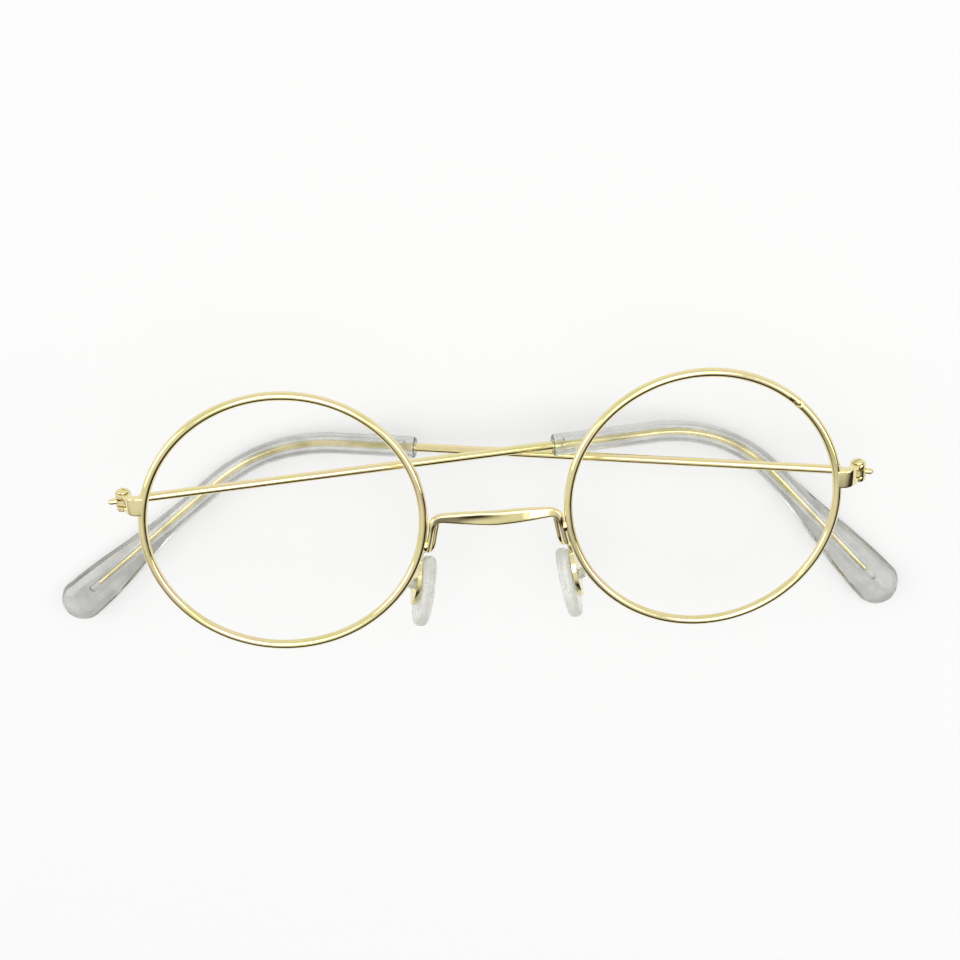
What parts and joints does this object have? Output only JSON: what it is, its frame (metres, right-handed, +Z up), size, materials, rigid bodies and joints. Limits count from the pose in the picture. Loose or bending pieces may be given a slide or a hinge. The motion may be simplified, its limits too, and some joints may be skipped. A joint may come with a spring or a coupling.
{
  "type": "round wire glasses",
  "caption": "Round thin-wire glasses frame without lenses, with hinged temples folded across, clear ear sleeves and clear nose pads on flat arms.",
  "frame": {"origin": "on the table under the middle of the folded glasses", "axes": "+X to the wearer's left, +Y to the wearer's brow, +Z up from the table, the way the front faces"},
  "size_m": [0.1534, 0.0574, 0.0349],
  "materials": {
    "gold_wire": "polished pale gold plating",
    "hinge_screw": "polished",
    "clear_sleeve": "clear, glossy",
    "milky_pad": "milky clear, soft sheen"
  },
  "bodies": {
    "front": {"right_rim": "gold_wire", "left_rim": "gold_wire", "bridge": "gold_wire", "right_end_piece": "gold_wire", "left_end_piece": "gold_wire", "right_hinge_screw": "hinge_screw", "left_hinge_screw": "hinge_screw", "right_pad_arm": "gold_wire", "left_pad_arm": "gold_wire"},
    "right_temple": {"right_temple_wire": "gold_wire", "right_temple_sleeve": "clear_sleeve"},
    "left_temple": {"left_temple_wire": "gold_wire", "left_temple_sleeve": "clear_sleeve"},
    "right_pad": {"right_nose_pad": "milky_pad"},
    "left_pad": {"left_nose_pad": "milky_pad"}
  },
  "joints": [
    {"name": "right_temple_hinge", "type": "hinge", "parent": "front", "child": "right_temple", "pos_m": [-0.05301, 0.01015, 0.03194], "axis": [0, 1, 0], "range_deg": [0, 81]},
    {"name": "left_temple_hinge", "type": "hinge", "parent": "front", "child": "left_temple", "pos_m": [0.0666, 0.00795, 0.01579], "axis": [0, -1, 0], "range_deg": [-8, 10]},
    {"name": "right_pad_swivel", "type": "hinge", "parent": "front", "child": "right_pad", "pos_m": [-0.00554, -0.00988, 0.02285], "axis": [-0.9382, 0.1969, 0.2845], "range_deg": [-10, 10]},
    {"name": "left_pad_swivel", "type": "hinge", "parent": "front", "child": "left_pad", "pos_m": [0.01842, -0.00988, 0.01962], "axis": [0.9801, 0.1969, 0.0256], "range_deg": [-10, 10]}
  ]
}
